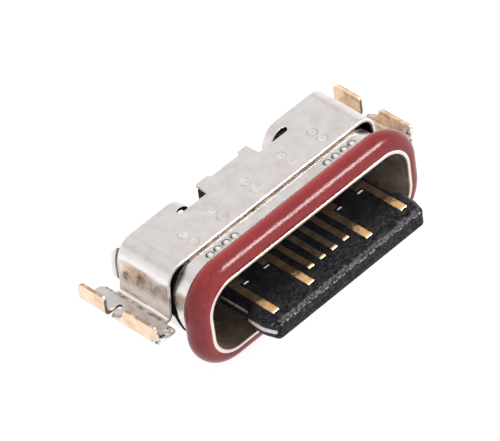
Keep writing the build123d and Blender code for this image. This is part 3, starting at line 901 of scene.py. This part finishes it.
left = [((-1.17, 3.02), 0.08) if p == (-1.06, 3.02) else ((-1.14, 3.55), 0.06) if p == (-1.03, 3.55) else (p, r) for (p, r) in left]
allp = right + left[1:-1]
outline = fillet_poly([p for p, r in allp], [r for p, r in allp], 0.02)


def st(p):
    a = abs(p[0])
    return 0.03 if (U1 - 0.05 < a < U2 + 0.05 or U3 - 0.05 < a < U4 + 0.05 or U5 - 0.05 < a < U6 + 0.05) else 0.05


outline = densify(outline, st)
us_half = np.r_[np.arange(0.0, U1, 0.05), np.linspace(U1, U2, 19), np.arange(U2 + 0.045, U3 - 0.02, 0.05), np.linspace(U3, U4, 10),
                np.arange(U4 + 0.045, U5 - 0.02, 0.05), np.linspace(U5, U6, 10), np.arange(U6 + 0.045, U7, 0.05)]
us_all = np.r_[-us_half[::-1][:-1], us_half]
g = grid_points(us_all, np.arange(1.10, 4.30, 0.05))
spots = [(-2.92, 2.31), (-2.92, 1.86), (-1.64, 2.36), (-1.645, 1.945), (-0.155, 2.44), (-0.16, 1.985), (1.33, 2.40), (1.35, 1.96), (2.66, 2.37), (2.65, 1.95)]
keep = np.ones(len(g), bool)
for sx, sy in spots:
    keep &= np.hypot(g[:, 0] - sx, g[:, 1] - sy) > 0.265
g = g[keep]
g = np.concatenate([g] + [np.array(polar_points(sx, sy, np.arange(0.02, 0.245, 0.018))) for sx, sy in spots])
lv = round_levels(sheet_t / 2, 0.024, 3)
uv, hh, quads, tris = plate(outline, lv, mirrored(round_levels(sheet_t / 2, 0.020, 2)), g, 0.55, 0.05)
n_loop = len(outline) * 7
V = np.zeros((len(uv), 3))
lift = np.zeros(len(uv))
weld_and_crease_shade = np.zeros(len(uv))
glow = np.zeros(len(uv))
top = hh > 0.055
for q, (sx, sy) in enumerate(spots):
    rr = np.hypot(uv[:, 0] - sx, uv[:, 1] - sy)
    first = sy > 2.2
    ring = np.exp(-((rr - 0.165) / 0.020) ** 2)
    dome = np.exp(-(rr / 0.055) ** 2)
    dish = np.clip(1 - (rr / 0.19) ** 4, 0, 1)
    lift += (-0.008 * ring + 0.012 * dome - 0.003 * dish) * top
    patchy = np.clip(0.45 + 1.1 * vnoise(np.c_[uv[:, 0], uv[:, 1], np.zeros(len(uv))], 6.0, 2.7 + q), 0.05, 1.3) * (1.0 if first else 0.9)
    ring = ring * patchy
    dome = dome * (1.0 if first else 0.5)
    weld_and_crease_shade = np.maximum(weld_and_crease_shade, (0.9 * ring + 0.6 * np.exp(-(np.hypot(uv[:, 0] - sx - 0.03, uv[:, 1] - sy + 0.02) / 0.035) ** 2)) * top)
    glow = np.maximum(glow, 0.75 * np.clip(1 - (rr / 0.15) ** 6, 0, 1) * (1 - np.exp(-(rr / 0.05) ** 2)) * np.clip(0.5 + vnoise(np.c_[uv[:, 0], uv[:, 1], np.zeros(len(uv))], 7.0, 5.3 + q), 0.15, 1) * top)
# slight unevenness of a pressed sheet
flatc = np.c_[uv[:, 0], uv[:, 1], np.zeros(len(uv))]
au = np.abs(uv[:, 0])
wav = (0.003 * vnoise(flatc, 1.1, 3.3) + 0.0012 * vnoise(flatc, 3.7, 9.1)) * np.clip((U2 - au) / 0.3, 0, 1)
for i in range(len(uv)):
    u, v = uv[i]
    tab = v > 3.205 and 1.2 < abs(u) < TAB_X
    x, z, nx, nz = (fold_tab if tab else fold)(abs(u))
    w = hh[i] + lift[i] + wav[i]
    sgn = 1.0 if u >= 0 else -1.0
    V[i] = (sgn * (x + nx * w), v, z + nz * w)
nface = len(quads)
vv = uv[:, 1]
on_loop = np.arange(len(uv)) < n_loop
edge_mask = (on_loop & (hh < 0.045)).astype(float)
front = on_loop & (vv < 1.56) & (au < U2 + 0.35)
# painted highlight along the front edge's rounded top
rim_highlight = (front & (hh > 0.020) & (hh < 0.052)).astype(float)
edge_mask = np.where(front & (hh > 0.020), 0, edge_mask)
gold_end = 2.42 + 0.30 * np.clip((U6 + 0.25 - au) / 0.35, 0, 1)
gold = np.clip((au - (U5 - 0.02)) / 0.10, 0, 1) * (1 - np.clip((vv - gold_end) / 0.06, 0, 1) * np.clip((3.15 - vv) / 0.03, 0, 1))
slot_wall = on_loop & (hh < 0.05) & (vv > 2.90) & (vv < 3.19) & (au > uSc - 0.2) & (au < U7)
torn = np.clip((1.42 - vv) / 0.12, 0, 1) * ((au > U4 + 0.05) & ((hh > 0) | (au < U6 + 0.1)))
torn = np.where((au > U6 + 0.05) & (hh <= 0), 0, torn) * np.clip((U7 - 0.06 - au) / 0.08, 0, 1)
gold = gold * (1 - torn)
satin = ((au < U1) & (hh > 0)).astype(float)
xx = np.abs(V[:, 0])
# painted shade: a mottled band on the walls below the top bend, stronger towards the rear, and a line just above the
# bottom bend
wall_shade = np.clip((au - (U2 + 0.10)) / 0.06, 0, 1) * (1 - 0.92 * np.clip((au - (U2 + 0.55)) / 0.30, 0, 1)) * (0.35 + 0.65 * np.clip((vv - 1.9) / 1.0, 0, 1)) * (au < U3 + 0.05)
wall_shade = np.maximum(wall_shade, 0.95 * np.exp(-((au - (U3 - 0.045)) / 0.04) ** 2) * (0.35 + 0.65 * np.clip((vv - 2.1) / 0.6, 0, 1)))
# painted shade: a crisp line in the crease where the wall turns into the bottom bend
weld_and_crease_shade = np.maximum(weld_and_crease_shade, 0.95 * np.exp(-((au - (U3 + 0.005)) / 0.024) ** 2) * (hh > 0) * (vv > 1.6) * (0.55 + 0.45 * np.clip((vv - 1.9) / 0.8, 0, 1)))
# painted highlight bands on the bottom bend and at the end of the top bend
bright = (hh > 0) * (0.98 * np.clip(1.6 * np.exp(-((au - (U3 + 0.62 * (U4 - U3))) / 0.065) ** 2), 0, 1) + 0.55 * np.clip(1 - np.abs(au - (U2 - 0.10)) / 0.16, 0, 1)) * (vv > 1.6)
rim_highlight = np.clip(rim_highlight + bright, 0, 1)
# painted shade: a line on the flange at the wall's foot, the flange a little darker beyond it
foot = 1.0 * np.exp(-((au - (U4 + 0.09)) / 0.055) ** 2) + 0.12 * np.clip((au - (U4 + 0.12)) / 0.2, 0, 1)
shade = np.where(au < U4 - 0.1, wall_shade, foot * np.clip((U5 - au) / 0.05, 0, 1)) * (hh > 0) * (1 - edge_mask)
# painted shade: undersides and inner faces, notches, the slot and the front edge's lower half
under_shade = ((hh < 0) & (au < U3)).astype(float) * (1 - edge_mask)
under_shade = np.where(on_loop & (hh < 0.05) & (vv > 2.99) & (vv < 3.30) & (au > 1.75) & (au < 2.42), 1.0, under_shade)
under_shade = np.where(slot_wall, 0.85, under_shade)
under_shade = np.where(front & (hh < 0.012) & (au < U2), 0.45, under_shade)
# painted glint: gold on part of the slot wall
glow_gold = slot_wall & (au > uSc + 0.06) & (au < uSc + 0.24) & (hh > -0.03)
under_shade = np.where(glow_gold, 0.1, under_shade)
gold = np.where(glow_gold, 1.0, gold)
# painted light: the lower walls paler
pale_and_lit = np.clip((au - (U2 + 0.45)) / 0.30, 0, 1) * np.clip((U3 + 0.03 - au) / 0.04, 0, 1) * (hh > 0) * (1 - 0.6 * wall_shade)
pale_and_lit = np.maximum(pale_and_lit, 0.5 * torn)
# painted light on the right legs' inner faces
pale_and_lit = np.maximum(pale_and_lit, 0.9 * (hh > 0) * (uv[:, 0] > 0) * np.clip((au - U6) / 0.05, 0, 1))
# painted shade along the legs' top edges, and over the right front leg's inner face
leg_top_shade = ((on_loop & (np.abs(hh) < 0.055)) | (hh > 0)) * np.clip((au - (U7 - 0.09)) / 0.04, 0, 1)
leg_top_shade = np.where((uv[:, 0] > 0) & (hh > 0), np.clip(1.7 * np.exp(-((au - (U7 - 0.12)) / 0.034) ** 2), 0, 1.1), leg_top_shade)
leg_top_shade = np.where((uv[:, 0] > 0) & (hh > 0) & (vv < 2.45), np.maximum(leg_top_shade, 0.72 * np.clip((au - U6) / 0.05, 0, 1) * np.clip((2.42 - vv) / 0.5, 0.3, 1)), leg_top_shade)
# painted light: lighter gold on the right legs' inner faces
leg_lit_gold = (uv[:, 0] > 0) * (hh > 0) * np.clip((au - U6) / 0.05, 0, 1)
edge_mask = edge_mask * (1 - torn)
make_piece("folded_bracket", V, quads, tris, [M_nickel], "bracket", 38,
           attrs={"edge": edge_mask * (1 - gold), "gold": gold, "weld_and_crease_shade": weld_and_crease_shade, "satin": satin, "rim_highlight": rim_highlight, "shade": shade, "under_shade": under_shade, "glow": glow, "torn": torn, "leg_top_shade": leg_top_shade, "pale_and_lit": pale_and_lit, "leg_lit_gold": leg_lit_gold})

# ------------------------------------------------------------------ plate inside the tongue
pl = [((-3.17, -1.53), 0.14), ((3.17, -1.53), 0.14), ((3.315, -1.10), 0.50), ((3.315, -0.52), 0.10), ((3.085, -0.29), 0.08), ((3.085, 2.97), 0.10), ((4.17, 2.97), 0),
      ((4.17, 3.14), 0), ((-4.17, 3.14), 0), ((-4.17, 2.97), 0), ((-3.085, 2.97), 0.10), ((-3.085, -0.29), 0.08), ((-3.315, -0.52), 0.10), ((-3.315, -1.10), 0.50)]
outline = densify(fillet_poly([p for p, r in pl], [r for p, r in pl], 0.03), 0.12)
lv = round_levels(0.075, 0.02, 2)
uv, hh, quads, tris = plate(outline, lv, mirrored(lv), grid_points(np.arange(-3.2, 3.25, 0.4), np.arange(-1.4, 3.0, 0.4)), 0.5, 0.2)
make_piece("tongue_plate", np.c_[uv, hh], quads, tris, [M_steel], "mid_plate", 40)

# ------------------------------------------------------------------ tongue
tg = [((-3.12, -1.60), 0.20), ((3.12, -1.60), 0.20), ((3.27, -1.10), 0.50), ((3.27, -0.50), 0.175), ((3.08, -0.29), 0.15), ((3.08, 1.2), 0.18), ((-3.08, 1.2), 0.18),
      ((-3.08, -0.29), 0.15), ((-3.27, -0.50), 0.175), ((-3.27, -1.10), 0.50)]
outline = densify(fillet_poly([p for p, r in tg], [r for p, r in tg], 0.03), 0.05)
lvl = [(0.008, 0.0), (0.0, 0.075), (0.0, 0.19), (0.0, 0.215), (0.006, 0.235), (0.020, 0.252), (0.030, 0.260), (0.075, 0.295), (0.125, 0.332), (0.145, 0.344), (0.165, 0.35)]
low = [(0.0, -0.075), (0.0, -0.235), (0.006, -0.258), (0.020, -0.275), (0.065, -0.322), (0.080, -0.340), (0.100, -0.35)]
g = grid_points(np.arange(-3.127, 3.16, 0.04), np.arange(-1.387, 1.19, 0.04))
uv, hh, quads, tris = plate(outline, lvl, low, g, 0.55, 0.04)
P = np.c_[uv, hh]
# rubbed paint-like line along the front's upper edge, partly a painted sheen, weaker on the chamfer above it
wear_and_sheen = np.clip(np.exp(-((hh - 0.243) / 0.012) ** 2) + 0.08 * (hh > 0.26) * np.exp(-((uv[:, 1] + 1.50) / 0.08) ** 2), 0, 1) * (uv[:, 1] < -1.35)
glint = np.zeros(len(uv))
for gx0, gx1, gy, gs in ((-2.55, -2.33, 0.37, 1.0), (-1.68, -1.45, 0.37, 0.6), (1.48, 1.69, 0.37, 0.8), (2.35, 2.59, 0.37, 0.9), (-3.05, -2.96, 0.46, 0.5)):
    glint = np.maximum(glint, gs * (uv[:, 0] > gx0 + 0.03) * (uv[:, 0] < gx1 - 0.03) * (np.abs(uv[:, 1] - gy) < 0.035) * (hh > 0.3))
P[:, 2] += np.where(np.abs(hh) > 0.34, 0.004 * vnoise(P, 2.2, 1.7) * np.sign(hh), 0)
make_piece("tongue", P, quads, tris, [M_black], "housing", 40, attrs={"wear_and_sheen": wear_and_sheen, "glint": glint})


def rot_xz(uv, h, y0):
    """plan (x, z), height along +y"""
    return np.c_[uv[:, 0], y0 + h, uv[:, 1]]


def block_y(name, outline, y0, y1, edge=0.03, mat=M_black, node="housing", step=0.15):
    outline = densify(np.array(outline), step)
    half_t = (y1 - y0) / 2
    lv = round_levels(half_t, edge, 2)
    lo, hi = outline.min(0), outline.max(0)
    uv, hh, quads, tris = plate(outline, lv, mirrored(lv), grid_points(np.arange(lo[0], hi[0], 0.35), np.arange(lo[1], hi[1], 0.35)), 0.5, 0.2)
    V = rot_xz(uv, hh, (y0 + y1) / 2)
    # the plan's handedness turns over, so the faces turn too
    return make_piece(name, V, quads[:, ::-1], tris[:, ::-1], [mat], node, 40, attrs={"wear_and_sheen": np.zeros(len(V))})


def rr_outline(w, h, r, cx=0, cz=0):
    return fillet_poly([(cx - w / 2, cz - h / 2), (cx + w / 2, cz - h / 2), (cx + w / 2, cz + h / 2), (cx - w / 2, cz + h / 2)], [r] * 4, 0.04)


block_y("tongue_root", rr_outline(6.5, 0.94, 0.045), 0.86, 2.96, 0.03, mat=M_root)
block_y("base_block", rr_outline(mouth_w - 0.01, mouth_h - 0.01, mouth_r), 2.95, 3.20, 0.02)
for side, nm in ((-1, "left"), (1, "right")):
    o = [(side * 2.52, 0.85), (side * 2.52, -1.275), (side * 3.27, -1.275)]
    for k in range(1, 9):
        a = -math.pi / 2 + math.pi / 2 * k / 8
        o.append((side * (3.265 + 0.9 * math.cos(a)), -0.38 + 0.9 * math.sin(a)))
    o.append((side * 4.165, 0.38))
    a1 = math.asin((0.85 - 0.38) / 0.9)
    for k in range(1, 6):
        a = a1 * k / 5
        o.append((side * (3.265 + 0.9 * math.cos(a)), 0.38 + 0.9 * math.sin(a)))
    block_y("rear_block_" + nm, o, 3.17, 3.95, 0.04)
block_y("rear_shelf", rr_outline(5.04, 0.35, 0.045, 0, 0.675), 3.17, 3.45, 0.03)
block_y("centre_block", rr_outline(2.13, 0.56, 0.035, -0.105, 1.11), 3.05, 3.45, 0.02)


# ------------------------------------------------------------------ contacts
upper_row = [("upper_gnd_left", -2.75, -2.92, "g"), ("upper_vbus_left", -1.25, -2.36, "v"), ("upper_cc", -0.75, -1.25, "s"), ("upper_dp", -0.25, -0.25, "s"),
             ("upper_dn", 0.25, 0.25, "s"), ("upper_sbu", 0.75, 1.25, "s"), ("upper_vbus_right", 1.25, 2.36, "v"), ("upper_gnd_right", 2.75, 2.92, "g")]
lower_row = [("lower_gnd_left", -2.75, -2.64, "g"), ("lower_vbus_left", -1.25, -2.08, "v"), ("lower_sbu", -0.75, -1.75, "s"), ("lower_dn", -0.25, -0.75, "s"),
             ("lower_dp", 0.25, 0.75, "s"), ("lower_cc", 0.75, 1.75, "s"), ("lower_vbus_right", 1.25, 2.08, "v"), ("lower_gnd_right", 2.75, 2.64, "g")]
for row, level in ((upper_row, 1), (lower_row, -1)):
    for name, x0, x1, kind in row:
        tip = -0.70 if kind == "s" else -1.16
        w = 0.235 if kind == "s" else 0.27
        side = 1 if x0 > 0 else -1
        gi = 0.23 if kind == "g" else 0.0
        go = 0.23 if kind == "v" else 0.0
        inner, outer = abs(x0) - w / 2, abs(x0) + w / 2
        li, lo = abs(x1) - 0.10, abs(x1) + 0.10
        if level > 0:
            f, total, segs = path_fold([(tip, 0.31), (3.32, 0.31), (3.32, -0.26), (4.36, -0.26)], [0.14, 0.14])
        else:
            f, total, segs = path_fold([(tip, -0.31), (3.08, -0.31), (3.30, -0.26), (4.36, -0.26)], [0.15, 0.15])
        # plan as (x, distance along the strip); up to the first bend the distance is y - tip
        s_of = lambda y: y - tip
        poly = [((outer, s_of(tip)), 0.02), ((outer, s_of(0.48)), 0.02)]
        if go:
            poly += [((outer + go, s_of(0.48)), 0.03), ((outer + go, s_of(1.10)), 0)]
        poly += [((outer, s_of(1.30)), 0), ((lo, s_of(2.60)), 0), ((lo, total), 0.02), ((li, total), 0.02), ((li, s_of(2.60)), 0), ((inner, s_of(1.30)), 0)]
        if gi:
            poly += [((inner - gi, s_of(1.10)), 0), ((inner - gi, s_of(0.48)), 0.03)]
        poly += [((inner, s_of(0.48)), 0.02), ((inner, s_of(tip)), 0.02)]
        clean = [poly[0]]
        for p in poly[1:]:
            if np.hypot(p[0][0] - clean[-1][0][0], p[0][1] - clean[-1][0][1]) > 1e-6:
                clean.append(p)
        # drop collinear points that only mark the plain sides
        pp = [p for p, r in clean]
        rr_ = [r for p, r in clean]
        out_p, out_r = [], []
        for i in range(len(pp)):
            a, p, b = np.array(pp[i - 1]), np.array(pp[i]), np.array(pp[(i + 1) % len(pp)])
            if abs((p - a)[0] * (b - p)[1] - (p - a)[1] * (b - p)[0]) < 1e-9:
                continue
            out_p.append((side * pp[i][0], pp[i][1]))
            out_r.append(rr_[i])
        outline = densify(fillet_poly(out_p, out_r, 0.02), lambda p: 0.05 if p[1] < 1.9 or p[1] > total - 2.6 else 0.15)
        lv = round_levels(0.06, 0.016, 2)
        xs = np.arange(-3.2, 3.2, 0.06)
        lo_, hi_ = outline.min(0), outline.max(0)
        g = grid_points(np.arange(lo_[0] + 0.05, hi_[0], 0.07), np.arange(0.05, total, 0.07))
        uv, hh, quads, tris = plate(outline, lv, mirrored(lv), g, 0.5, 0.05)
        V = np.zeros((len(uv), 3))
        for i in range(len(uv)):
            s = uv[i, 1]
            y, z, ny, nz = f(s)
            hgt = hh[i]
            nose = math.exp(-(s / 0.035) ** 2)
            V[i] = (uv[i, 0], y + ny * hgt, z + nz * hgt)
            if hh[i] * level > 0.03:
                V[i, 2] -= level * 0.018 * nose
        ys = V[:, 1]
        # painted shade on the contacts' rear
        dark_from = -1.00 if kind != "s" else -0.66
        deep_shade = np.clip((ys - dark_from) / (0.86 if kind != "s" else 0.10), 0, 1) * np.clip((3.3 - ys) / 0.1, 0, 1)
        # painted highlight on the contacts' tips
        tip_highlight = np.clip(1 - (ys - tip) / 0.06, 0, 1)
        make_piece("contact_" + name, V, quads, tris, [M_gold], name, 40, attrs={"deep_shade": deep_shade, "tip": tip_highlight})

# ------------------------------------------------------------------ CAD nodes that stay: better materials
for node, mat in (("upper_carrier", M_black), ("lower_carrier", M_black), ("rear_potting", M_resin), ("upper_emc_plate", M_ground), ("lower_emc_plate", M_ground)):
    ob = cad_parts[node]
    for s in ob.material_slots:
        s.material = mat
    if not ob.material_slots:
        ob.data.materials.append(mat)

# ------------------------------------------------------------------ floor, light
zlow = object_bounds()[0][2]
fm = bpy.data.meshes.new("floor")
S = 0.6
fm.from_pydata([(-S, -S, zlow), (S, -S, zlow), (S, S, zlow), (-S, S, zlow)], [], [(0, 1, 2, 3)])
floor = bpy.data.objects.new("floor", fm)
scene.collection.objects.link(floor)
mf, nt, b = new_mat("pale_floor")
b.inputs["Base Color"].default_value = (0.15, 0.15, 0.15, 1)
b.inputs["Roughness"].default_value = 1.0
b.inputs["Specular IOR Level"].default_value = 0.0
b.inputs["Emission Color"].default_value = (1, 1, 1, 1)
b.inputs["Emission Strength"].default_value = 0.92
fm.materials.append(mf)

world = bpy.data.worlds.new("studio")
scene.world = world
world.use_nodes = True
wn = world.node_tree
wn.nodes.clear()
wo = wn.nodes.new("ShaderNodeOutputWorld")
bg = wn.nodes.new("ShaderNodeBackground")
wn.links.new(bg.outputs[0], wo.inputs[0])
# bright near the horizon, softer overhead
tc = wn.nodes.new("ShaderNodeTexCoord")
sp = wn.nodes.new("ShaderNodeSeparateXYZ")
wn.links.new(tc.outputs["Generated"], sp.inputs[0])
rp = wn.nodes.new("ShaderNodeValToRGB")
wn.links.new(sp.outputs[2], rp.inputs[0])
el = rp.color_ramp.elements
for q in range(2):
    el.new(0.5)
for e_, (pos_, v_) in zip(el, ((0.0, 0.96), (0.40, 0.93), (0.62, 0.64), (0.90, 0.88))):
    e_.position = pos_
    e_.color = (v_, v_ * 0.985, v_ * 0.985, 1)
wn.links.new(rp.outputs[0], bg.inputs["Color"])
bg.inputs["Strength"].default_value = 1.15


def area(name, loc, target, size, power, size_y=None, color=(1, 1, 1)):
    l = bpy.data.lights.new(name, "AREA")
    l.energy = power
    l.color = color
    l.shape = "RECTANGLE" if size_y else "SQUARE"
    l.size = size
    if size_y:
        l.size_y = size_y
    o = bpy.data.objects.new(name, l)
    scene.collection.objects.link(o)
    o.location = loc
    d = Vector(target) - Vector(loc)
    o.rotation_euler = d.to_track_quat("-Z", "Y").to_euler()
    return o


area("key", (0.19, -0.225, 0.270), (0, 0, 0), 0.16, 1.40, 0.115)

scene.view_settings.view_transform = "Standard"
scene.view_settings.look = "None"
scene.view_settings.exposure = 0.0
scene.view_settings.gamma = 1.0
